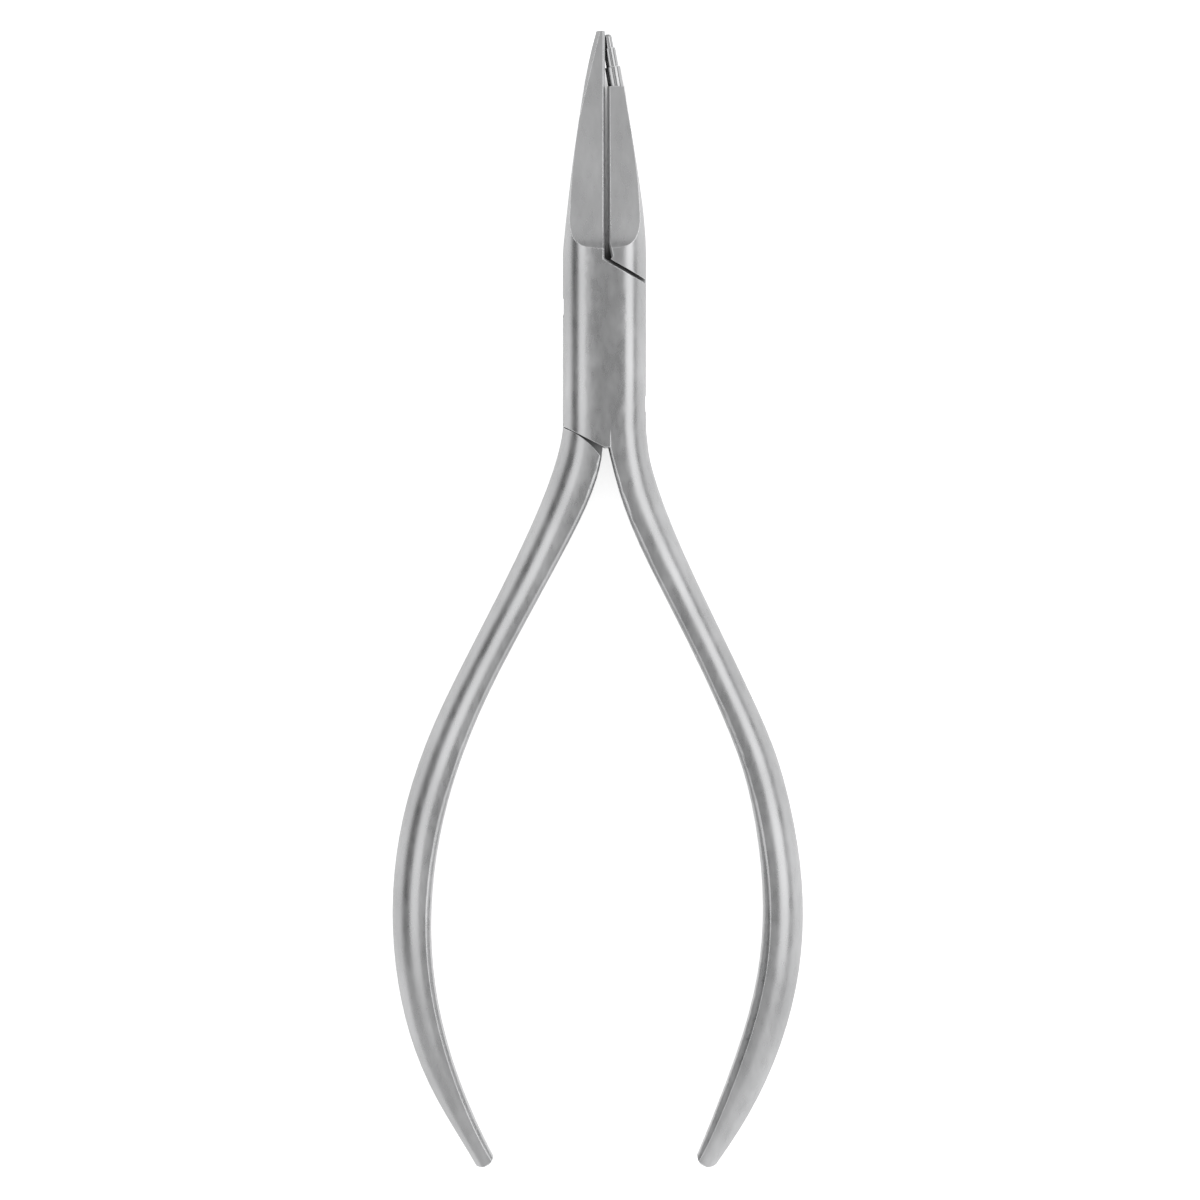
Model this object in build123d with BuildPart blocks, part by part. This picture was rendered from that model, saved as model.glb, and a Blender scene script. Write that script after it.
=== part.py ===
from build123d import *
from math import cos, radians, sin, sqrt, tan
import os

# Box-joint loop-forming pliers, in millimetres, closed. They lie on their back.
# +Y points to the tips, +X to the round beak, +Z up through the thickness.
# The hinge axis is the Z axis. The flat that they rest on is the plane Z = 0.

# Joint block, whose outline both halves share when the pliers are closed
joint_width = 10.3
joint_depth = 8.36
joint_shoulder = 3.4        # radius between a crowned face and the side
shoulder_share = 0.92       # most that a shoulder radius takes of half the depth
crown_radius = 14.0         # of the front and back faces, across the pliers
rest_flat_depth = 0.06      # ground off the crowned back
block_top = 12.5            # the beaks begin here
block_bottom = 9.2          # below the hinge, where the handles begin

# Box, tongue and their hinge pin
slot_width = 3.0            # between the front wall and the back wall
tongue_side_play = 0.03
opening_angle = 31.0        # at which the tongue's flank comes to its stop
stop_distance = 7.0         # from the hinge axis to the stops inside the box
stop_play = 0.1
pin_diameter = 3.2
pin_running_play = 0.03     # radial, in the tongue only

# Slanted seams between the halves
upper_seam_angle = 29.6     # below level, from the mating face outward
upper_seam_height = 11.84   # where the wall's upper edge meets the mating face
upper_seam_gap = 0.25
lower_seam_angle = 27.2     # above level, from the crotch outward
crotch_height = 11.4        # below the hinge, where the handles part
shoulder_gap = 0.2          # between the box wall and the tongue's shoulder, at the side
shoulder_drop = 1.4         # from the crotch down to the inner end of that shoulder
shoulder_sag = 0.35         # how far the shoulder bulges from a straight line
tongue_inset = 0.28         # from the hinge line to the inner half's handle root
root_inset = 0.0            # from the hinge line to the outer half's handle root
root_corner = 0.08          # inner corner of that root, under the wall
crotch_lap = 0.75           # how far the box wall runs over that root, past the hinge line

# Beaks
beak_length = 40.03         # of the outer beak, from the hinge axis
mating_face = 0.06          # x of the outer beak's flat inner face
tip_gap = 0.27              # between the flat faces, at the far end of the inner beak
heel_gap = 0.40             # between them beside the joint block
heel_relief = 0.8           # widest gap between them, at the seam
heel_height = 1.9           # above the seam's corner, where that gap has narrowed
face_run_out = 7.0          # radius that leads from the joint block into a beak face
run_out_turn = 75.0         # of that radius, in degrees, enough to leave the block
run_out_lead = 0.15         # from the joint block to about where that radius leaves the crowned face
face_thickness = 5.0        # beak thickness there
tip_thickness = 2.3
flank_share = 0.66          # flank radius as a share of the beak's width
outer_tip_width = 1.0
inner_beak_end = 2.42       # x of the flank where the round tip begins
tip_bevel_length = 12.0     # of the long bevel on the outer beak's flank, up to the tip
tip_bevel_start = 3.4       # distance of the bevel's front edge from the hinge line at its lower end
tip_bevel_end = 0.55        # and at the tip
tip_bevel_angle = 45.0
outer_edge_bevel = 0.25     # along the outer beak's inner face and the wall's upper edge
inner_edge_bevel = 0.3      # along the inner beak's inner face

# Beak flanks, each point as a share of the way from the joint block to the beak's end, and half-width
outer_beak_flank = ((0.153, 4.75), (0.334, 4.19), (0.512, 3.52), (0.690, 2.78), (0.826, 2.15), (0.915, 1.62))
inner_beak_flank = ((0.203, 4.90), (0.446, 4.26), (0.683, 3.48), (0.920, 2.68))

# Round tip of the inner beak: three steps on one leaning axis, and the channel that takes it
step_diameters = (1.90, 1.52, 1.14)
step_lengths = (2.5, 2.35, 1.75)
step_axis_x = 1.42
step_axis_lean = 10.0
step_root = 0.2             # how far the first step reaches into the beak
nose_radius = 0.4
channel_radius = 1.0
channel_axis_x = 0.55
channel_lead = 1.15         # how far the channel begins before the round tip
step_setback = 0.38         # of the round tip's end behind the outer beak's tip

# Handles, each station as centre x, y, width, thinning, inner corner radius and fullness of that corner.
# Thinning is what its depth lacks of the joint's, between the rest flat and its like in front.
outer_handle = (
    (2.92, -11.4, 4.93, 0.00, 0.45, 1.0),
    (4.35, -17.0, 4.69, 0.00, 0.55, 1.0),
    (6.95, -23.6, 4.55, 0.00, 0.60, 1.0),
    (10.50, -31.0, 4.26, 0.00, 0.60, 1.0),
    (14.90, -40.1, 4.20, 0.00, 0.60, 1.0),
    (19.05, -49.9, 4.44, 0.00, 0.65, 1.0),
    (21.35, -59.8, 4.71, 0.00, 0.75, 0.8),
    (22.05, -69.7, 4.91, 0.04, 0.85, 0.4),
    (20.80, -79.6, 4.89, 0.44, 0.85, 0.2),
    (17.55, -89.4, 4.43, 1.44, 0.80, 0.2),
    (12.07, -100.2, 2.35, 3.49, 0.40, 0.5),
)
inner_handle = (
    (-2.715, -9.2, 4.87, 0.00, 0.30, 1.0),
    (-3.45, -14.0, 5.42, 0.00, 0.50, 1.0),
    (-5.92, -20.3, 5.17, 0.00, 0.60, 1.0),
    (-9.75, -28.0, 4.70, 0.00, 0.60, 1.0),
    (-14.45, -37.0, 4.46, 0.00, 0.60, 1.0),
    (-19.15, -47.0, 4.68, 0.00, 0.60, 1.0),
    (-22.35, -57.0, 4.90, 0.00, 0.60, 0.9),
    (-23.74, -67.0, 4.80, 0.02, 0.60, 0.6),
    (-23.30, -77.0, 4.45, 0.29, 0.50, 0.4),
    (-20.85, -87.0, 3.85, 1.19, 0.45, 0.4),
    (-14.37, -100.2, 2.35, 3.49, 0.40, 0.6),
)
handle_end_slope = 63.0     # of both handle ends, below level, towards the middle
end_trim = 0.3              # from a handle's last station back to its rounded end
end_radius = 1.45           # of that end, seen from the front
end_depth = 5.45            # of that end, seen from the side
end_edge_radius = 0.8       # of its front and back edges

# Sizes that follow from those above
half_width = joint_width / 2
mid_z = joint_depth / 2 - rest_flat_depth
handle_depth = joint_depth - 2 * rest_flat_depth
shoulder_radius = min(joint_shoulder, shoulder_share * handle_depth / 2)
clear = 4.0                 # how far a cut runs past what it cuts
far = half_width + clear
top = block_top + clear
tongue_width = slot_width - 2 * tongue_side_play
inner_face_tip = mating_face + tip_gap
inner_face_heel = mating_face + heel_gap
inner_beak_length = beak_length - step_setback - sum(step_lengths) * cos(radians(step_axis_lean))
run_out_rise = (joint_depth - face_thickness) / 2
run_out_length = sqrt(face_run_out ** 2 - (face_run_out - run_out_rise) ** 2)
face_start = block_top + run_out_lead + run_out_length
face_slope = (face_thickness - tip_thickness) / 2 / (beak_length - face_start)


def cross_plane(x, y, outward, ahead):
    """Plane across the pliers at (x, y), with its X outward and its normal ahead."""
    return Plane(origin=(x, y, mid_z), x_dir=outward, z_dir=ahead)


def round_curve(centre, start, end, fullness=1.0):
    """Clockwise arc as a free cubic curve; a fullness under 1 flattens it into a facet."""
    turn = radians((start - centre).get_angle(end - centre))
    reach = 4 / 3 * tan(turn / 4) * fullness
    leave = Vector((start - centre).Y, (centre - start).X) * reach
    arrive = Vector((end - centre).Y, (centre - end).X) * reach
    return Bezier(start, start + leave, end - arrive, end, mode=Mode.PRIVATE)


def half_section(width, depth, shoulder, apex=0.0, corner=0.0, fullness=1.0):
    """Half of a crowned section, with its flat inner side on the sketch's Y axis.

    apex is where the crown is highest. corner rounds the inner edges, and a
    fullness under 1 flattens that round.
    """
    crown = Vector(apex, depth / 2 - crown_radius)
    shoulder_y = crown.Y + sqrt((crown_radius - shoulder) ** 2 - (width - shoulder - apex) ** 2)
    shoulder_centre = Vector(width - shoulder, shoulder_y)
    corner_y = crown.Y + sqrt((crown_radius - corner) ** 2 - (corner - apex) ** 2)
    corner_centre = Vector(corner, corner_y)
    crown_start = crown + (corner_centre - crown).normalized() * crown_radius
    crown_end = crown + (shoulder_centre - crown).normalized() * crown_radius
    outline = [
        round_curve(crown, crown_start, crown_end),
        round_curve(shoulder_centre, crown_end, Vector(width, shoulder_y)),
    ]
    if corner > 0:
        outline.append(round_curve(corner_centre, Vector(0, corner_y), crown_start, fullness))
    outline += [curve.mirror(Plane.XZ) for curve in outline]
    outline.append(Line((0, -corner_y), (0, corner_y), mode=Mode.PRIVATE))
    outline.append(Line((width, -shoulder_y), (width, shoulder_y), mode=Mode.PRIVATE))
    return Face(Wire(outline))


def block(low, high):
    """The joint block's full section from y = low to y = high."""
    section = half_section(half_width, joint_depth, shoulder_radius)
    with BuildPart() as piece:
        with BuildSketch(cross_plane(0, low, (1, 0, 0), (0, 1, 0))):
            add(section)
            mirror(about=Plane.YZ)
        extrude(amount=high - low)
    return piece.part


def handle(stations, side):
    """Handle lofted through its stations, with a rounded end."""
    end_ahead = Vector(-side * cos(radians(handle_end_slope)), -sin(radians(handle_end_slope)))
    with BuildLine() as spine:
        Spline(*[(x, y) for x, y, *sizes in stations], tangents=[(0, -1), end_ahead])
    spine_edge = spine.edges()[0]
    sections = []
    with BuildPart() as piece:
        for x, y, width, thinning, corner, fullness in stations:
            depth = handle_depth - thinning
            ahead = spine_edge.tangent_at(spine_edge.param_at_point((x, y)))
            outward = Vector(-ahead.Y, ahead.X) * side
            inner = Vector(x, y) - outward * (width / 2)
            if (x, y) == stations[0][:2]:
                shoulder = shoulder_radius
                apex = -side * inner.X
            else:
                shoulder = shoulder_share * min(width - corner, depth / 2)
                apex = 0
            section = half_section(width, depth, shoulder, apex, corner, fullness)
            sections.append(cross_plane(inner.X, inner.Y, outward, ahead) * section)
        loft(sections, clean=False)
        tip = Vector(x, y, mid_z) - ahead * end_trim
        with BuildSketch(Plane(origin=tip, x_dir=ahead, z_dir=(0, 0, 1))):
            with Locations((-end_radius, 0)):
                Rectangle(end_radius + clear, 2 * clear, align=(Align.MIN, Align.CENTER))
                Circle(end_radius, mode=Mode.SUBTRACT)
        extrude(amount=joint_depth, both=True, mode=Mode.SUBTRACT)
        with BuildSketch(Plane(origin=tip, x_dir=ahead, z_dir=outward)):
            with Locations((-end_edge_radius, 0)):
                Rectangle(end_edge_radius + clear, 2 * clear, align=(Align.MIN, Align.CENTER))
            end_side = RectangleRounded(2 * clear, end_depth, end_edge_radius, mode=Mode.PRIVATE)
            add(end_side.moved(Location((-clear, 0))), mode=Mode.SUBTRACT)
        extrude(amount=clear, both=True, mode=Mode.SUBTRACT)
    return piece.part


def handle_root():
    """The outer half's straight root, from the joint block to its handle's first station."""
    x, y, width, thinning, corner, fullness = outer_handle[0]
    inner_x = x - width / 2
    depth = handle_depth - thinning
    upper_section = half_section(half_width, joint_depth, shoulder_radius, 0, root_corner)
    lower_section = half_section(width, depth, shoulder_radius, -inner_x, corner, fullness)
    upper_plane = cross_plane(0, -block_bottom, (1, 0, 0), (0, -1, 0))
    lower_plane = cross_plane(inner_x, y, (1, 0, 0), (0, -1, 0))
    with BuildPart() as piece:
        loft([upper_plane * upper_section, lower_plane * lower_section], ruled=True, clean=False)
    return piece.part


def beak_face_cutter():
    """What the sloping front and back beak faces and their run-out radius leave out."""
    far_y = beak_length + clear
    with BuildPart() as cutter:
        with BuildSketch(Plane(origin=(0, 0, mid_z), x_dir=(0, 1, 0), z_dir=(1, 0, 0))):
            with BuildLine():
                face = Line((far_y, tip_thickness / 2 - face_slope * clear), (face_start, face_thickness / 2))
                run_out = JernArc(face @ 1, (-1, face_slope), face_run_out, -run_out_turn)
                Polyline(run_out @ 1, run_out @ 1 + (0, joint_depth), (far_y, joint_depth), face @ 0)
            make_face()
            mirror(about=Plane.XZ)
        extrude(amount=half_width + clear, both=True)
    return cutter.part


def beak(side, inner_x, flank, end_y, end_x):
    """Beak with its flat inner face at inner_x; side is -1 on the left and 1 on the right."""
    root_x = inner_x - side * clear
    apex = -side * root_x
    with BuildPart() as piece:
        for share, x in ((0, half_width), *flank, (1, end_x)):
            y = block_top + share * (end_y - block_top)
            shoulder = flank_share * (x + side * inner_x) if share > 0 else shoulder_radius
            section = half_section(x + apex, joint_depth, shoulder, apex)
            with BuildSketch(cross_plane(root_x, y, (side, 0, 0), (0, 1, 0))):
                add(section, clean=False)
        loft()
        split(bisect_by=Plane(origin=(inner_x, 0, 0), z_dir=(side, 0, 0)), keep=Keep.TOP)
        add(beak_face_cutter(), mode=Mode.SUBTRACT)
        split(bisect_by=Plane.XY, keep=Keep.TOP)
    return piece.part


def tip_bevel_plane(side):
    """Plane of the outer beak's long bevel; side is 1 on the front and -1 on the back."""
    end = Vector(-tip_bevel_end, beak_length, mid_z + side * tip_thickness / 2)
    run = Vector(tip_bevel_start - tip_bevel_end, tip_bevel_length, -side * face_slope * tip_bevel_length)
    outward = Vector(-run.Y, run.X).normalized()
    upward = run.cross(outward).normalized() * side
    tilt = radians(tip_bevel_angle)
    return Plane(origin=end, x_dir=run, z_dir=outward * sin(tilt) + upward * cos(tilt))


def outer_rims(edges):
    """Those of the edges that border the front or the back, and not the slot or the channel."""
    level = edges.filter_by(Axis.Z, reverse=True)
    return level.filter_by(lambda edge: abs(edge.center().Z - mid_z) > slot_width / 2 + tongue_side_play)


def flank_height(x, distance):
    """Height of the tongue's upper left flank at x, when the pliers are closed."""
    return (distance + x * sin(radians(opening_angle))) / cos(radians(opening_angle))


def upper_seam(x, gap=0.0):
    """Height of the upper seam at x, or of its other side across a gap."""
    fall = tan(radians(upper_seam_angle)) * (x - mating_face)
    return upper_seam_height - fall + gap / cos(radians(upper_seam_angle))


def lower_seam(x):
    """Height of the box wall's lower edge at x."""
    return -crotch_height - tan(radians(lower_seam_angle)) * x


def tongue_walls_cutter():
    """What the box walls' room takes from the inner half, in front of the tongue and behind it."""
    inner_end = Vector(-tongue_inset, -crotch_height - shoulder_drop)
    outer_end = Vector(-half_width, lower_seam(-half_width) - shoulder_gap)
    middle = (inner_end + outer_end) * 0.5 + Vector(shoulder_sag, shoulder_sag)
    with BuildPart() as cutter:
        for wall in (1, -1):
            with BuildSketch(Plane.XY.offset(mid_z + wall * tongue_width / 2)):
                with BuildLine():
                    shoulder = ThreePointArc(outer_end, middle, inner_end)
                    inner_run = shoulder @ 1 + (shoulder % 1) * clear
                    Polyline(
                        shoulder @ 1,
                        inner_run,
                        (far, inner_run.Y),
                        (far, upper_seam(far, upper_seam_gap)),
                        (-clear, upper_seam(-clear, upper_seam_gap)),
                        (-far, upper_seam(-clear, upper_seam_gap)),
                        shoulder @ 0 - (shoulder % 0) * clear,
                        shoulder @ 0,
                    )
                make_face()
            extrude(amount=wall * joint_depth)
    return cutter.part


# Outer half: flat beak, box and right handle, forged in one piece
with BuildPart() as outer_half:
    add(block(-block_bottom, block_top))
    wall_section = half_section(half_width + crotch_lap, joint_depth, shoulder_radius, crotch_lap)
    with BuildSketch(cross_plane(crotch_lap, -crotch_height, (-1, 0, 0), (0, 1, 0))):
        add(wall_section)
    extrude(amount=crotch_height - block_bottom)
    add(handle_root())
    with BuildSketch(Plane.XY.offset(mid_z)):
        with BuildLine():
            Polyline(
                (mating_face, upper_seam(mating_face)),
                (far, upper_seam(far)),
                (far, top),
                (mating_face, top),
                close=True,
            )
        make_face()
        with BuildLine():
            Polyline(
                (-far, lower_seam(-far)),
                (0, lower_seam(0)),
                (0, -crotch_height - clear),
                (-far, -crotch_height - clear),
                close=True,
            )
        make_face()
    extrude(amount=joint_depth, both=True, mode=Mode.SUBTRACT)
    with BuildSketch(Plane.XY.offset(mid_z)):
        seat_x = stop_distance * tan(radians(opening_angle / 2))
        with BuildLine():
            Polyline(
                (mating_face, top),
                (mating_face, flank_height(mating_face, stop_distance)),
                (-seat_x, stop_distance),
                (-far, stop_distance),
                (-far, -crotch_height - clear),
                (root_inset, -crotch_height - clear),
                (root_inset, -flank_height(-root_inset, stop_distance)),
                (seat_x, -stop_distance),
                (far, -stop_distance),
                (far, top),
                close=True,
            )
        make_face()
    extrude(amount=slot_width / 2, both=True, mode=Mode.SUBTRACT)
    with BuildSketch(Plane.XY.offset(-clear)):
        Circle(pin_diameter / 2)
    extrude(amount=joint_depth + 2 * clear, mode=Mode.SUBTRACT)
    split(bisect_by=Plane.XY, keep=Keep.TOP)
    add(beak(-1, mating_face, outer_beak_flank, beak_length, outer_tip_width))
    channel_start = inner_beak_length - channel_lead
    with BuildSketch(Plane(origin=(channel_axis_x, channel_start, mid_z), z_dir=(0, 1, 0))):
        Circle(channel_radius)
    extrude(amount=beak_length + clear - channel_start, mode=Mode.SUBTRACT)
    split(bisect_by=tip_bevel_plane(1), keep=Keep.BOTTOM)
    split(bisect_by=tip_bevel_plane(-1), keep=Keep.BOTTOM)
    seam_tilt = radians(upper_seam_angle)
    seam_plane = Plane(origin=(0, 0, 0), z_dir=(sin(seam_tilt), cos(seam_tilt), 0))
    inner_faces = outer_half.faces().filter_by(Plane.YZ)
    inner_faces = inner_faces.filter_by_position(Axis.X, mating_face / 2, mating_face * 2)
    bevelled = inner_faces + outer_half.faces().filter_by(seam_plane)
    chamfer(outer_rims(bevelled.edges()), outer_edge_bevel)
    add(handle(outer_handle, 1))
outer_half.part.label = "outer_half"

# Inner half: stepped beak, tongue and left handle, forged in one piece
with BuildPart() as inner_half:
    add(block(-block_bottom, block_top))
    add(beak(1, 0, inner_beak_flank, inner_beak_length, inner_beak_end))
    tongue_reach = stop_distance - stop_play
    with BuildSketch(Plane.XY.offset(mid_z)):
        with BuildLine():
            Polyline(
                (-far, flank_height(-far, tongue_reach)),
                (inner_face_tip, flank_height(inner_face_tip, tongue_reach)),
                (inner_face_tip, upper_seam_height - heel_relief),
                (mating_face + heel_relief, upper_seam_height),
                (inner_face_heel, upper_seam_height + heel_height),
                (inner_face_tip, inner_beak_length + clear),
                (-far, inner_beak_length + clear),
                close=True,
            )
        make_face()
        with BuildLine():
            Polyline(
                (far, -flank_height(-far, tongue_reach)),
                (-tongue_inset, -flank_height(tongue_inset, tongue_reach)),
                (-tongue_inset, -block_bottom - clear),
                (far, -block_bottom - clear),
                close=True,
            )
        make_face()
    extrude(amount=joint_depth, both=True, mode=Mode.SUBTRACT)
    add(tongue_walls_cutter(), mode=Mode.SUBTRACT)
    with BuildSketch(Plane.XY.offset(-clear)):
        Circle(pin_diameter / 2 + pin_running_play)
    extrude(amount=joint_depth + 2 * clear, mode=Mode.SUBTRACT)
    tip_lean = radians(step_axis_lean)
    tip_plane = Plane(
        origin=(step_axis_x, inner_beak_length, mid_z),
        x_dir=(cos(tip_lean), sin(tip_lean), 0),
        z_dir=(0, 0, 1),
    )
    with BuildSketch(tip_plane):
        with BuildLine():
            reach = -step_root
            outline = [(0, reach)]
            for diameter, length in zip(step_diameters, step_lengths):
                outline.append((diameter / 2, reach))
                reach = max(reach, 0) + length
                outline.append((diameter / 2, reach))
            outline[-1] = (diameter / 2, reach - nose_radius)
            steps = Polyline(*outline)
            nose = JernArc(steps @ 1, (0, 1), nose_radius, 90)
            Polyline(nose @ 1, (0, reach), (0, -step_root))
        make_face()
    revolve(axis=Axis(tip_plane.origin, tip_plane.y_dir))
    split(bisect_by=Plane.XY, keep=Keep.TOP)
    bevelled = inner_half.edges().filter_by_position(Axis.X, inner_face_tip, mating_face + heel_relief)
    bevelled = bevelled.filter_by_position(Axis.Y, upper_seam_height, inner_beak_length)
    chamfer(outer_rims(bevelled), inner_edge_bevel)
    add(handle(inner_handle, -1) - tongue_walls_cutter())
inner_half.part.label = "inner_half"

# Hinge pin, riveted and ground flush with both crowned faces
with BuildPart() as joint_pin:
    with BuildSketch(Plane.XY):
        Circle(pin_diameter / 2)
    extrude(amount=joint_depth)
    add(block(-block_bottom, block_top), mode=Mode.INTERSECT)
joint_pin.part.label = "joint_pin"

os.makedirs("parts", exist_ok=True)
for piece in (outer_half.part, inner_half.part, joint_pin.part):
    export_step(piece, f"parts/{piece.label}.step")
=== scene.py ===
from math import atan, cos, degrees, pi, radians, sin, sqrt

import bpy
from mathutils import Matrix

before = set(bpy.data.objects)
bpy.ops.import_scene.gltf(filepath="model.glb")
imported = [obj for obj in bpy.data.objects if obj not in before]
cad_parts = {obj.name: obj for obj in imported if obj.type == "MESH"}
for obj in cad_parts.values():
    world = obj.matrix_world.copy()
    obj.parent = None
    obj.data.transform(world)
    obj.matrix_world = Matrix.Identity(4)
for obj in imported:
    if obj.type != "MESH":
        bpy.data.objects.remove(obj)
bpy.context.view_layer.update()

# Loop-forming pliers that lie closed on their back: satin steel halves with a polished stepped tip,
# on a white table between two long softboxes.

mm = 0.001

photo = {
    "pixels": 1200,
    "mmPerPixel": 0.12346,
    "hingePixel": (604.5, 355.5),    # where the hinge axis is seen
    "scaleHeight": 4.12 * mm,        # of the handles' widest line, where the scale was taken
    "cameraHeight": 1000.0 * mm,     # above that
    "nearClip": 50 * mm,
    "farClip": 20.0,
}
noiseRange = (0.3, 0.7)              # within which a noise texture's values mostly lie


def addNode(tree, kind, spot, settings=None, values=None):
    node = tree.nodes.new(kind)
    node.location = spot
    for name, value in (settings or {}).items():
        setattr(node, name, value)
    for name, value in (values or {}).items():
        node.inputs[name].default_value = value
    return node


def wire(tree, source, output, target, socket):
    tree.links.new(source.outputs[output], target.inputs[socket])


def newMaterial(name):
    material = bpy.data.materials.new(name)
    material.use_nodes = True
    material.node_tree.nodes.clear()
    return material, material.node_tree


# Even normals for the CAD pieces, so that the softboxes' stripes run smoothly along them.
# They follow from the crown and shoulder radii of the joint block and of the handles' sections.

jointBlock = {
    "halfWidth": 5.15 * mm,
    "halfDepth": 4.18 * mm,
    "middle": 4.12 * mm,             # its height, which the handles share
    "crown": 14.0 * mm,              # radius across the front and back faces
    "shoulder": 3.4 * mm,            # radius between these and the sides
}
crownDrop = jointBlock["crown"] - jointBlock["halfDepth"]     # from the middle to the crown's centre
shoulderX = jointBlock["halfWidth"] - jointBlock["shoulder"]  # centre of the shoulder's radius
shoulderZ = sqrt((jointBlock["crown"] - jointBlock["shoulder"]) ** 2 - shoulderX ** 2) - crownDrop

evenShading = {
    "Weld Distance": 0.0015 * mm,
    "Crease Angle": radians(24),     # edges that turn more stay crisp
    "Border Crease": radians(9),     # and these, where two forged faces meet
    "Border Spread": 0.1,            # least variance of the forged faces' numbers at such an edge
    "Evening": 12,                   # steps that even out how the handles' normals lean along them
    "Handle Start": -9.6 * mm,
    "Root Overlap": 2 * mm,          # how far the block's section is looked for past there
    "Beak Start": 17.0 * mm,
    "Middle": jointBlock["middle"],
    "Crown Radius": jointBlock["crown"],
    "Crown Drop": crownDrop,
    "Side Radius": jointBlock["shoulder"],
    "Side X": shoulderX,
    "Side Z": shoulderZ,
    "Fit": 0.05 * mm,                # how near a point lies to the block's section
    "Match": cos(radians(9)),        # and how near its facet's normal is to the section's
    "Handle Fit": 0.15 * mm,
    "Handle Match": cos(radians(12)),
    "Past Corner": 0.9,              # share of the inner corner past which the crown begins
}

# The handles' sections, each with its centre x, y, width, thinning and inner corner, in millimetres.
# The first of each has the joint block's shoulder and crown.
handleSections = {
    "count": 1600,                   # of sections looked up between them
    "curveSteps": 40,                # from one section to the next
    "depth": 8.24,
    "shoulderShare": 0.92,           # of the width past the corner, or of half the depth if that is less
    "right": (
        (2.92, -11.4, 4.93, 0.00, 0.45),
        (4.35, -17.0, 4.69, 0.00, 0.55),
        (6.95, -23.6, 4.55, 0.00, 0.60),
        (10.50, -31.0, 4.26, 0.00, 0.60),
        (14.90, -40.1, 4.20, 0.00, 0.60),
        (19.05, -49.9, 4.44, 0.00, 0.65),
        (21.35, -59.8, 4.71, 0.00, 0.75),
        (22.05, -69.7, 4.91, 0.04, 0.85),
        (20.80, -79.6, 4.89, 0.44, 0.85),
        (17.55, -89.4, 4.43, 1.44, 0.80),
        (12.07, -100.2, 2.35, 3.49, 0.40),
    ),
    "left": (
        (-2.715, -9.2, 4.87, 0.00, 0.30),
        (-3.45, -14.0, 5.42, 0.00, 0.50),
        (-5.92, -20.3, 5.17, 0.00, 0.60),
        (-9.75, -28.0, 4.70, 0.00, 0.60),
        (-14.45, -37.0, 4.46, 0.00, 0.60),
        (-19.15, -47.0, 4.68, 0.00, 0.60),
        (-22.35, -57.0, 4.90, 0.00, 0.60),
        (-23.74, -67.0, 4.80, 0.02, 0.60),
        (-23.30, -77.0, 4.45, 0.29, 0.50),
        (-20.85, -87.0, 3.85, 1.19, 0.45),
        (-14.37, -100.2, 2.35, 3.49, 0.40),
    ),
}


def feed(tree, node, values):
    for index, value in enumerate(values):
        if isinstance(value, bpy.types.NodeSocket):
            tree.links.new(value, node.inputs[index])
        else:
            node.inputs[index].default_value = value
    isNumber = node.bl_idname == "ShaderNodeVectorMath" and node.operation in ("LENGTH", "DOT_PRODUCT")
    return node.outputs[1 if isNumber else 0]


def calc(tree, operation, *values):
    node = tree.nodes.new("ShaderNodeMath")
    node.operation = operation
    return feed(tree, node, values)


def plus(tree, first, second):
    return calc(tree, "ADD", first, second)


def minus(tree, first, second):
    return calc(tree, "SUBTRACT", first, second)


def times(tree, first, *others):
    for other in others:
        first = calc(tree, "MULTIPLY", first, other)
    return first


def vectorCalc(tree, operation, *values):
    node = tree.nodes.new("ShaderNodeVectorMath")
    node.operation = operation
    return feed(tree, node, values)


def scaleBy(tree, vector, factor):
    node = tree.nodes.new("ShaderNodeVectorMath")
    node.operation = "SCALE"
    tree.links.new(factor, node.inputs["Scale"])
    return feed(tree, node, (vector,))


def combine(tree, x, y, z):
    return feed(tree, tree.nodes.new("ShaderNodeCombineXYZ"), (x, y, z))


def split(tree, vector):
    node = tree.nodes.new("ShaderNodeSeparateXYZ")
    tree.links.new(vector, node.inputs[0])
    return node.outputs


def choose(tree, test, no, yes):
    node = tree.nodes.new("GeometryNodeSwitch")
    node.input_type = "VECTOR"
    return feed(tree, node, (test, no, yes))


# A value from one range taken to another, and held at its ends.
def remap(tree, value, span, result, smooth=False):
    node = tree.nodes.new("ShaderNodeMapRange")
    node.interpolation_type = "SMOOTHSTEP" if smooth else "LINEAR"
    for name, number in zip(("From Min", "From Max", "To Min", "To Max"), (*span, *result)):
        node.inputs[name].default_value = number
    tree.links.new(value, node.inputs["Value"])
    return node.outputs["Result"]


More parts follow.
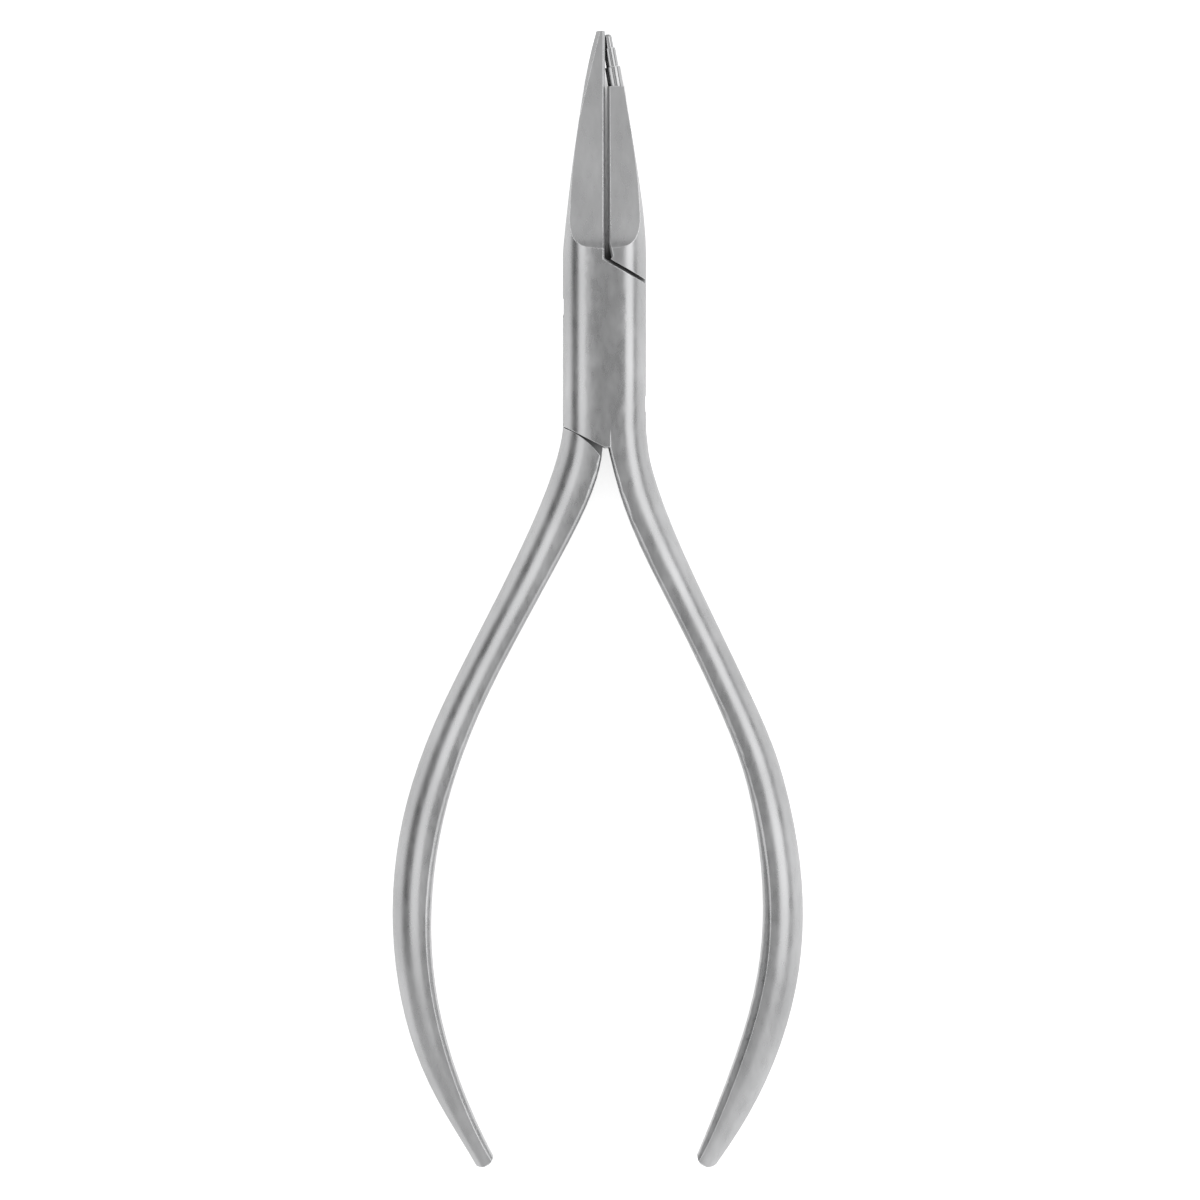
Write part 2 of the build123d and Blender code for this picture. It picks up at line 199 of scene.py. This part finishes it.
# Normal of the joint block's crown or shoulder, and whether the point lies on them.
def blockNormal(tree, size, position, normal):
    x, y, z = split(tree, position)
    rise = minus(tree, z, size["Middle"])
    above = calc(tree, "SIGN", rise)
    side = calc(tree, "SIGN", x)
    out = calc(tree, "ABSOLUTE", x)
    up = calc(tree, "ABSOLUTE", rise)
    crownUp = plus(tree, up, size["Crown Drop"])
    crown = combine(tree, x, 0.0, times(tree, crownUp, above))
    sideOut = times(tree, minus(tree, out, size["Side X"]), side)
    sideUp = calc(tree, "MAXIMUM", minus(tree, up, size["Side Z"]), 0.0)
    shoulder = combine(tree, sideOut, 0.0, times(tree, sideUp, above))
    reach = times(tree, out, plus(tree, size["Side Z"], size["Crown Drop"]))
    isShoulder = calc(tree, "GREATER_THAN", reach, times(tree, size["Side X"], crownUp))
    arm = choose(tree, isShoulder, crown, shoulder)
    shoulderExtra = minus(tree, size["Side Radius"], size["Crown Radius"])
    radius = plus(tree, size["Crown Radius"], times(tree, isShoulder, shoulderExtra))
    miss = calc(tree, "ABSOLUTE", minus(tree, vectorCalc(tree, "LENGTH", arm), radius))
    exact = vectorCalc(tree, "NORMALIZE", arm)
    fits = calc(tree, "LESS_THAN", miss, size["Fit"])
    faces = calc(tree, "GREATER_THAN", vectorCalc(tree, "DOT_PRODUCT", exact, normal), size["Match"])
    below = calc(tree, "LESS_THAN", y, size["Beak Start"])
    beyond = calc(tree, "GREATER_THAN", y, minus(tree, size["Handle Start"], size["Root Overlap"]))
    return exact, times(tree, fits, faces, below, beyond), calc(tree, "LESS_THAN", y, size["Handle Start"])


# Points along one handle's middle, each with the sizes of its section.
def handleSpine(tree, sections, side):
    index = addNode(tree, "GeometryNodeInputIndex", (-3000, -900)).outputs[0]

    def perSection(values):
        node = tree.nodes.new("GeometryNodeIndexSwitch")
        node.data_type = "VECTOR"
        while len(node.index_switch_items) < len(values):
            node.index_switch_items.new()
        tree.links.new(index, node.inputs[0])
        for number, value in enumerate(values):
            node.inputs[number + 1].default_value = value
        return node.outputs[0]

    depth = handleSections["depth"]
    centres = [(x * mm, y * mm, evenShading["Middle"]) for x, y, *sizes in sections]
    spans = [(width * mm, (depth - thin) / 2 * mm, corner * mm) for x, y, width, thin, corner in sections]
    share = handleSections["shoulderShare"]
    forms = [(share * min(width - corner, (depth - thin) / 2) * mm, 0.0, side)
             for x, y, width, thin, corner in sections]
    x, y, width = sections[0][:3]
    forms[0] = (jointBlock["shoulder"], (width / 2 - side * x) * mm, side)
    line = addNode(tree, "GeometryNodeMeshLine", (-2800, -900), values={"Count": len(sections)})
    place = addNode(tree, "GeometryNodeSetPosition", (-2600, -900))
    wire(tree, line, "Mesh", place, "Geometry")
    tree.links.new(perSection(centres), place.inputs["Position"])
    geometry = place.outputs[0]
    for name, values in (("span", spans), ("form", forms)):
        store = addNode(tree, "GeometryNodeStoreNamedAttribute", (-2400, -900), {
            "data_type": "FLOAT_VECTOR", "domain": "POINT"}, {"Name": name})
        tree.links.new(geometry, store.inputs["Geometry"])
        tree.links.new(perSection(values), store.inputs["Value"])
        geometry = store.outputs[0]
    curve = addNode(tree, "GeometryNodeMeshToCurve", (-2200, -900))
    smooth = addNode(tree, "GeometryNodeCurveSplineType", (-2000, -900), {"spline_type": "CATMULL_ROM"})
    finer = addNode(tree, "GeometryNodeSetSplineResolution", (-1900, -900), values={
        "Resolution": handleSections["curveSteps"]})
    points = addNode(tree, "GeometryNodeCurveToPoints", (-1800, -900), {"mode": "COUNT"}, {
        "Count": handleSections["count"]})
    along = addNode(tree, "GeometryNodeStoreNamedAttribute", (-1600, -900), {
        "data_type": "FLOAT_VECTOR", "domain": "POINT"}, {"Name": "along"})
    tree.links.new(geometry, curve.inputs[0])
    wire(tree, curve, "Curve", smooth, "Curve")
    wire(tree, smooth, "Curve", finer, "Geometry")
    wire(tree, finer, "Geometry", points, "Curve")
    wire(tree, points, "Points", along, "Geometry")
    wire(tree, points, "Tangent", along, "Value")
    return along.outputs[0]


# Normal of a handle's crown or shoulder, and whether the point lies on them.
def handleNormal(tree, size, position, normal, roughly):
    both = addNode(tree, "GeometryNodeJoinGeometry", (-1400, -900))
    for name, side in (("right", 1), ("left", -1)):
        tree.links.new(handleSpine(tree, handleSections[name], side), both.inputs[0])
    nearest = addNode(tree, "GeometryNodeSampleNearest", (-1200, -900), {"domain": "POINT"})
    wire(tree, both, "Geometry", nearest, "Geometry")

    def sampled(field):
        node = addNode(tree, "GeometryNodeSampleIndex", (-1000, -900), {
            "data_type": "FLOAT_VECTOR", "domain": "POINT"})
        wire(tree, both, "Geometry", node, "Geometry")
        tree.links.new(field, node.inputs["Value"])
        wire(tree, nearest, "Index", node, "Index")
        return node.outputs[0]

    def stored(name):
        return addNode(tree, "GeometryNodeInputNamedAttribute", (-1200, -1100), {
            "data_type": "FLOAT_VECTOR"}, {"Name": name}).outputs[0]

    width, half, corner = split(tree, sampled(stored("span")))
    shoulder, apex, side = split(tree, sampled(stored("form")))
    along = vectorCalc(tree, "NORMALIZE", sampled(stored("along")))
    alongParts = split(tree, along)
    outward = combine(
        tree, times(tree, alongParts["Y"], -1.0, side), times(tree, alongParts["X"], side), 0.0)
    offset = vectorCalc(tree, "SUBTRACT", position, sampled(position))
    across = plus(tree, vectorCalc(tree, "DOT_PRODUCT", offset, outward), times(tree, width, 0.5))
    rise = split(tree, offset)["Z"]
    above = calc(tree, "SIGN", rise)

    crown = size["Crown Radius"]
    crownOut = minus(tree, across, apex)
    crownUp = plus(tree, calc(tree, "ABSOLUTE", rise), minus(tree, crown, half))
    inset = minus(tree, minus(tree, width, shoulder), apex)    # of the shoulder's centre from the crown's
    lessShoulder = minus(tree, crown, shoulder)
    centreUp = calc(tree, "SQRT", minus(
        tree, times(tree, lessShoulder, lessShoulder), times(tree, inset, inset)))
    sideOut = minus(tree, crownOut, inset)
    sideUp = calc(tree, "MAXIMUM", minus(tree, crownUp, centreUp), 0.0)
    isShoulder = calc(tree, "GREATER_THAN", times(tree, crownOut, centreUp), times(tree, inset, crownUp))
    arm = choose(
        tree, isShoulder, combine(tree, crownOut, crownUp, 0.0), combine(tree, sideOut, sideUp, 0.0))
    radius = minus(tree, crown, times(tree, isShoulder, lessShoulder))
    miss = calc(tree, "ABSOLUTE", minus(tree, vectorCalc(tree, "LENGTH", arm), radius))

    turned = split(tree, vectorCalc(tree, "NORMALIZE", arm))
    upward = combine(tree, 0.0, 0.0, times(tree, turned["Y"], above))
    level = vectorCalc(tree, "ADD", scaleBy(tree, outward, turned["X"]), upward)
    leaning = scaleBy(tree, along, vectorCalc(tree, "DOT_PRODUCT", roughly, along))
    exact = vectorCalc(tree, "NORMALIZE", vectorCalc(tree, "ADD", level, leaning))
    fits = calc(tree, "LESS_THAN", miss, size["Handle Fit"])
    faces = calc(tree, "GREATER_THAN", vectorCalc(tree, "DOT_PRODUCT", exact, normal), size["Handle Match"])
    pastCorner = calc(tree, "GREATER_THAN", across, times(tree, corner, size["Past Corner"]))
    return exact, times(tree, fits, faces, pastCorner)


def evenNormalTree():
    tree = bpy.data.node_groups.new("evenNormals", "GeometryNodeTree")
    face = tree.interface
    face.new_socket("Geometry", in_out="INPUT", socket_type="NodeSocketGeometry")
    for name, value in evenShading.items():
        kind = "NodeSocketInt" if isinstance(value, int) else "NodeSocketFloat"
        face.new_socket(name, in_out="INPUT", socket_type=kind)
    face.new_socket("Geometry", in_out="OUTPUT", socket_type="NodeSocketGeometry")
    start = addNode(tree, "NodeGroupInput", (-1600, 0))
    size = start.outputs

    forged = addNode(tree, "GeometryNodeCaptureAttribute", (-1400, 0), {"domain": "FACE"})
    forged.capture_items.new("FLOAT", "Forged Face")
    forged.capture_items.new("FLOAT", "Forged Face Squared")
    island = addNode(tree, "GeometryNodeInputMeshIsland", (-1600, -250))
    weld = addNode(tree, "GeometryNodeMergeByDistance", (-1200, 0))
    forget = addNode(tree, "GeometryNodeRemoveAttribute", (-1000, 0), values={"Name": "custom_normal"})
    smooth = addNode(tree, "GeometryNodeSetShadeSmooth", (-800, 0), {"domain": "FACE"})
    crease = addNode(tree, "GeometryNodeSetShadeSmooth", (-700, 0), {"domain": "EDGE"}, {
        "Shade Smooth": False})
    part = addNode(tree, "GeometryNodeSplitEdges", (-600, 0))     # so no normal is mixed across a crease
    keep = addNode(tree, "GeometryNodeCaptureAttribute", (0, 0), {"domain": "POINT"})
    keep.capture_items.new("VECTOR", "Even Normal")
    perCorner = addNode(tree, "GeometryNodeStoreNamedAttribute", (200, 0), {
        "data_type": "FLOAT_VECTOR", "domain": "CORNER"}, {"Name": "evenNormal"})
    rejoin = addNode(tree, "GeometryNodeMergeByDistance", (400, 0))
    stored = addNode(tree, "GeometryNodeInputNamedAttribute", (400, -250), {"data_type": "FLOAT_VECTOR"}, {
        "Name": "evenNormal"})
    shade = addNode(tree, "GeometryNodeSetMeshNormal", (600, 0), {"mode": "FREE", "domain": "CORNER"})
    end = addNode(tree, "NodeGroupOutput", (800, 0))

    number = island.outputs["Island Index"]
    tree.links.new(number, forged.inputs["Forged Face"])
    tree.links.new(times(tree, number, number), forged.inputs["Forged Face Squared"])
    wire(tree, start, "Geometry", forged, "Geometry")
    wire(tree, forged, "Geometry", weld, "Geometry")
    wire(tree, start, "Weld Distance", weld, "Distance")
    wire(tree, weld, "Geometry", forget, "Geometry")
    wire(tree, forget, "Geometry", smooth, "Geometry")

    turn = addNode(tree, "GeometryNodeInputMeshEdgeAngle", (-1000, -250)).outputs["Unsigned Angle"]
    mean = forged.outputs["Forged Face"]
    spread = minus(tree, forged.outputs["Forged Face Squared"], times(tree, mean, mean))
    onBorder = calc(tree, "GREATER_THAN", spread, size["Border Spread"])
    borderCrease = times(tree, onBorder, calc(tree, "GREATER_THAN", turn, size["Border Crease"]))
    isCrease = calc(tree, "MAXIMUM", borderCrease, calc(tree, "GREATER_THAN", turn, size["Crease Angle"]))
    tree.links.new(isCrease, crease.inputs["Selection"])
    tree.links.new(isCrease, part.inputs["Selection"])
    wire(tree, smooth, "Geometry", crease, "Geometry")
    wire(tree, crease, "Geometry", part, "Mesh")

    position = addNode(tree, "GeometryNodeInputPosition", (-800, -500)).outputs[0]
    normal = addNode(tree, "GeometryNodeInputNormal", (-800, -650)).outputs[0]
    blockExact, fitsBlock, onHandle = blockNormal(tree, size, position, normal)
    roughly = addNode(tree, "GeometryNodeBlurAttribute", (-600, -650), {"data_type": "FLOAT_VECTOR"})
    tree.links.new(normal, roughly.inputs["Value"])
    tree.links.new(size["Evening"], roughly.inputs["Iterations"])
    handleExact, fitsHandle = handleNormal(tree, size, position, normal, roughly.outputs[0])
    elsewhere = choose(tree, fitsBlock, normal, blockExact)
    known = choose(tree, times(tree, fitsHandle, onHandle), elsewhere, handleExact)
    tree.links.new(vectorCalc(tree, "NORMALIZE", known), keep.inputs["Even Normal"])
    wire(tree, part, "Mesh", keep, "Geometry")
    wire(tree, keep, "Geometry", perCorner, "Geometry")
    wire(tree, keep, "Even Normal", perCorner, "Value")
    wire(tree, perCorner, "Geometry", rejoin, "Geometry")
    wire(tree, start, "Weld Distance", rejoin, "Distance")
    wire(tree, rejoin, "Geometry", shade, "Mesh")
    wire(tree, stored, "Attribute", shade, "Custom Normal")
    wire(tree, shade, "Mesh", end, "Geometry")
    return tree


def evenNormals(piece, tree):
    even = piece.modifiers.new("evenNormals", "NODES")
    even.node_group = tree
    for item in tree.interface.items_tree:
        if item.in_out == "INPUT" and item.name in evenShading:
            even[item.identifier] = evenShading[item.name]


# Satin steel

satinSteel = {
    "steel": (0.485, 0.487, 0.492),
    "roughness": (0.25, 0.33),
    "grainSize": 0.10 * mm,
    "grainStretch": 2.6,             # along the pliers
    "grainDepth": 0.0012 * mm,
    "mottleSize": 1.1 * mm,
    "mottleTint": (0.93, 1.06),      # darker and lighter streaks
    "cloudSize": 5.5 * mm,
    "cloudTint": (0.86, 1.05),       # darker and lighter broad patches
    "edgeRound": 0.14 * mm,
    "edgeSamples": 6,
    "edgeTurn": (0.004, 0.06),       # 1 less the cosine of an edge's turn, where the brightening starts and is full
    "edgeWearAndHighlight": 1.7,                 # how much brighter the rubbed edges are: partly real rubbing, partly a painted highlight
    "creviceReach": 1.4 * mm,
    "creviceSamples": 4,
    "creviceOpen": (0.15, 0.55),     # share of open sky where the painted shade in a seam is darkest, and where it ends
    "seamShadeDarkest": 0.30,             # painted shade: how dark the colour is made deep in the seams
    "pinReach": 1.75 * mm,           # the rivet inside this radius is ground flush, with no rounded rim
    "pinBlend": 1.1,                 # times that radius, where edges are rounded in full
    "tipAxis": (1.42 * mm, 32.9 * mm, 4.12 * mm),    # where the polished stepped tip begins
    "tipLean": radians(10),          # of its axis
    "tipBlend": 0.15 * mm,
    "tipReach": 1.05 * mm,           # from the axis
    "tipRoughness": 0.11,
}


def makeSatinSteel():
    material, tree = newMaterial("satinSteel")
    place = addNode(tree, "ShaderNodeTexCoord", (-1600, 0)).outputs["Object"]
    stretch = addNode(tree, "ShaderNodeMapping", (-1400, 0))
    stretch.inputs["Scale"].default_value = (1, 1 / satinSteel["grainStretch"], 1)
    tree.links.new(place, stretch.inputs["Vector"])

    def noise(size, detail):
        node = addNode(tree, "ShaderNodeTexNoise", (-1200, 0), values={
            "Scale": 1 / size, "Detail": detail, "Roughness": 0.5})
        wire(tree, stretch, "Vector", node, "Vector")
        return node.outputs["Fac"]

    grain = noise(satinSteel["grainSize"], 1.0)
    mottle = noise(satinSteel["mottleSize"], 2.0)
    clouds = noise(satinSteel["cloudSize"], 1.0)

    # Rounded edges, but none round the rivet
    fromHinge = vectorCalc(tree, "LENGTH", vectorCalc(tree, "MULTIPLY", place, (1, 1, 0)))
    pinReach = satinSteel["pinReach"]
    rim = (pinReach, pinReach * satinSteel["pinBlend"])
    edge = addNode(tree, "ShaderNodeBevel", (-1000, -400), {"samples": satinSteel["edgeSamples"]})
    tree.links.new(remap(tree, fromHinge, rim, (0.0, satinSteel["edgeRound"])), edge.inputs["Radius"])
    grainBump = addNode(tree, "ShaderNodeBump", (-400, -200), values={
        "Strength": 1.0, "Distance": satinSteel["grainDepth"]})
    wire(tree, edge, "Normal", grainBump, "Normal")
    tree.links.new(grain, grainBump.inputs["Height"])

    # Polish on the stepped tip only
    lean = satinSteel["tipLean"]
    fromTip = vectorCalc(tree, "SUBTRACT", place, satinSteel["tipAxis"])
    alongTip = vectorCalc(tree, "DOT_PRODUCT", fromTip, (-sin(lean), cos(lean), 0))
    reach = vectorCalc(tree, "LENGTH", fromTip)
    offAxis = calc(tree, "SQRT", minus(tree, times(tree, reach, reach), times(tree, alongTip, alongTip)))
    pastStart = remap(tree, alongTip, (0.0, satinSteel["tipBlend"]), (0.0, 1.0), smooth=True)
    onTip = times(tree, pastStart, calc(tree, "LESS_THAN", offAxis, satinSteel["tipReach"]))
    polish = addNode(tree, "ShaderNodeMix", (-300, 300), {"data_type": "FLOAT"})
    polish.inputs["B"].default_value = satinSteel["tipRoughness"]
    tree.links.new(remap(tree, mottle, noiseRange, satinSteel["roughness"]), polish.inputs["A"])
    tree.links.new(onTip, polish.inputs["Factor"])

    # Colour: streaks and broad patches, rubbed edges brightened partly as real rubbing and partly as a
    # painted highlight, and painted shade in the seams
    streaks = remap(tree, mottle, noiseRange, satinSteel["mottleTint"])
    patches = remap(tree, clouds, noiseRange, satinSteel["cloudTint"])
    # Painted shade: the base colour is darkened in seams and gaps, where little of the sky is open
    crevice = addNode(tree, "ShaderNodeAmbientOcclusion", (-900, 800), {
        "samples": satinSteel["creviceSamples"], "only_local": False}, {
        "Distance": satinSteel["creviceReach"]}).outputs["AO"]
    paintedSeamShade = remap(tree, crevice, satinSteel["creviceOpen"], (satinSteel["seamShadeDarkest"], 1.0))
    smoothNormal = addNode(tree, "ShaderNodeNewGeometry", (-1200, 1000)).outputs["Normal"]
    turn = minus(tree, 1.0, vectorCalc(tree, "DOT_PRODUCT", edge.outputs["Normal"], smoothNormal))
    # Edges brightened in the base colour: partly real rubbing, partly a painted highlight
    wearAndHighlight = remap(tree, turn, satinSteel["edgeTurn"], (1.0, satinSteel["edgeWearAndHighlight"]))
    toneAndPaintedLight = times(tree, streaks, patches, wearAndHighlight, paintedSeamShade)

    shader = addNode(tree, "ShaderNodeBsdfPrincipled", (0, 0), values={"Metallic": 1.0})
    output = addNode(tree, "ShaderNodeOutputMaterial", (300, 0))
    tree.links.new(scaleBy(tree, satinSteel["steel"], toneAndPaintedLight), shader.inputs["Base Color"])
    wire(tree, polish, "Result", shader, "Roughness")
    wire(tree, grainBump, "Normal", shader, "Normal")
    wire(tree, shader, "BSDF", output, "Surface")
    return material


steel = makeSatinSteel()
evenNormalGroup = evenNormalTree()
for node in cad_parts.values():
    node.data.materials.clear()
    node.data.materials.append(steel)
    evenNormals(node, evenNormalGroup)
print("steel on", len(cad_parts), "CAD nodes")


# Table, softboxes and camera

table = {
    "size": 6.0,
    "colour": (0.8, 0.8, 0.8, 1),
    "whiteFill": 0.72,               # added where the camera sees the table
    "steelFill": 0.45,               # and where the steel mirrors it
    "betweenBeaks": (1.2 * mm, 11 * mm, 35 * mm),    # half-width, start and end of the strip they shut in
    "stripFade": (2.4 * mm, 6 * mm),    # over which it fades at its sides and about its end
    "shutIn": (0.57, 0.87),          # share of open sky there from which the fill starts and is full
    "skyReach": 12 * mm,
    "skySamples": 8,
}


def makeTable():
    bpy.ops.mesh.primitive_plane_add(size=table["size"], location=(0, 0, 0))
    floor = bpy.context.object
    floor.name = "table"
    material, tree = newMaterial("whiteTable")
    paper = addNode(tree, "ShaderNodeBsdfDiffuse", (-200, 100), values={"Color": table["colour"]})
    fill = addNode(tree, "ShaderNodeEmission", (-200, -100), values={"Color": (1, 1, 1, 1)})
    ray = addNode(tree, "ShaderNodeLightPath", (-900, -200)).outputs

    # Painted shade: the strip between the beaks gets less fill, where little of the sky is open to it
    spot = split(tree, addNode(tree, "ShaderNodeTexCoord", (-1400, -700)).outputs["Object"])
    halfWidth, low, high = table["betweenBeaks"]
    sideFade, endFade = table["stripFade"]
    fromMiddle = calc(tree, "ABSOLUTE", spot["X"])
    nearMiddle = remap(tree, fromMiddle, (halfWidth, halfWidth + sideFade), (1.0, 0.0), smooth=True)
    aboveHeel = calc(tree, "GREATER_THAN", spot["Y"], low)
    belowTip = remap(tree, spot["Y"], (high - endFade / 2, high + endFade / 2), (1.0, 0.0), smooth=True)
    sky = addNode(tree, "ShaderNodeAmbientOcclusion", (-900, -500), {"samples": table["skySamples"]}, {
        "Distance": table["skyReach"]}).outputs["AO"]
    closed = remap(tree, sky, table["shutIn"], (1.0, 0.0))
    lit = minus(tree, 1.0, times(tree, nearMiddle, aboveHeel, belowTip, closed))

    direct = calc(tree, "MAXIMUM", ray["Is Camera Ray"], ray["Is Transmission Ray"])
    mirrored = times(tree, ray["Is Glossy Ray"], table["steelFill"])
    seen = calc(tree, "MAXIMUM", times(tree, direct, table["whiteFill"]), mirrored)
    tree.links.new(times(tree, seen, lit), fill.inputs["Strength"])
    both = addNode(tree, "ShaderNodeAddShader", (0, 0))
    output = addNode(tree, "ShaderNodeOutputMaterial", (200, 0))
    tree.links.new(paper.outputs[0], both.inputs[0])
    tree.links.new(fill.outputs[0], both.inputs[1])
    tree.links.new(both.outputs[0], output.inputs["Surface"])
    floor.data.materials.append(material)


softboxes = {
    "distance": 0.6,
    "leftBox": {"lean": -34.0, "width": 0.36, "length": 0.68, "along": 0.17, "radiance": 1.22},
    "rightBox": {"lean": 46.0, "width": 0.38, "length": 0.68, "along": 0.17, "radiance": 1.22},
    "tipBox": {"rise": 36.0, "width": 0.24, "length": 0.72, "radiance": 0.48},    # faint, beyond the tips
}
room = {
    "sides": (0.20, 0.50),           # strength of the room's light on the left and on the right
    "sideReach": 0.6,                # X of a direction, to each side, where these are reached
    "handleEnd": 0.50,               # added toward the end of the handles
    "handleEndReach": (-0.05, -0.30),    # Y of a direction where that starts and is full
    "lowDown": 0.60,                 # added just above the table's far edge
    "lowDownReach": (0.24, 0.08),    # Z of a direction where that starts and is full
}


def addSoftbox(name, box):
    lamp = bpy.data.lights.new(name, "AREA")
    lamp.shape = "RECTANGLE"
    lamp.size = box["width"]
    lamp.size_y = box["length"]
    lamp.energy = box["radiance"] * pi * box["width"] * box["length"]
    holder = bpy.data.objects.new(name, lamp)
    bpy.context.scene.collection.objects.link(holder)
    lean = radians(box["lean"])
    reach = softboxes["distance"]
    holder.location = (reach * sin(lean), box["along"], reach * cos(lean))
    holder.rotation_euler = (0, lean, 0)
    holder.visible_camera = False


def addTipBox(name, box):
    addSoftbox(name, {**box, "lean": 0.0, "along": 0.0})
    holder = bpy.data.objects[name]
    rise = radians(box["rise"])
    reach = softboxes["distance"]
    holder.location = (0, reach * sin(rise), reach * cos(rise))
    holder.rotation_euler = (-rise, 0, 0)


def lightRoom():
    for name in ("leftBox", "rightBox"):
        addSoftbox(name, softboxes[name])
    addTipBox("tipBox", softboxes["tipBox"])
    world = bpy.data.worlds.new("room")
    bpy.context.scene.world = world
    world.use_nodes = True
    tree = world.node_tree
    background = tree.nodes["Background"]
    background.inputs["Color"].default_value = (1, 1, 1, 1)
    direction = split(tree, addNode(tree, "ShaderNodeTexCoord", (-800, 0)).outputs["Generated"])
    sides = remap(tree, direction["X"], (-room["sideReach"], room["sideReach"]), room["sides"])
    handleEnd = remap(tree, direction["Y"], room["handleEndReach"], (0.0, room["handleEnd"]), smooth=True)
    lowDown = remap(tree, direction["Z"], room["lowDownReach"], (0.0, room["lowDown"]), smooth=True)
    glow = calc(tree, "MAXIMUM", handleEnd, lowDown)
    tree.links.new(plus(tree, sides, glow), background.inputs["Strength"])
    bpy.context.scene.view_settings.view_transform = "Standard"


def addCamera():
    pixel = photo["mmPerPixel"] * mm
    width = photo["pixels"] * pixel
    hingeX, hingeY = photo["hingePixel"]
    lens = bpy.data.cameras.new("camera")
    camera = bpy.data.objects.new("camera", lens)
    bpy.context.scene.collection.objects.link(camera)
    camera.location = (
        (photo["pixels"] / 2 - hingeX) * pixel,
        (hingeY - photo["pixels"] / 2) * pixel,
        photo["scaleHeight"] + photo["cameraHeight"],
    )
    lens.angle = 2 * atan(width / 2 / photo["cameraHeight"])
    lens.clip_start = photo["nearClip"]
    lens.clip_end = photo["farClip"]
    bpy.context.scene.camera = camera
    print("camera field", round(degrees(lens.angle), 2), "degrees")


makeTable()
lightRoom()
addCamera()
print("table, softboxes and camera")
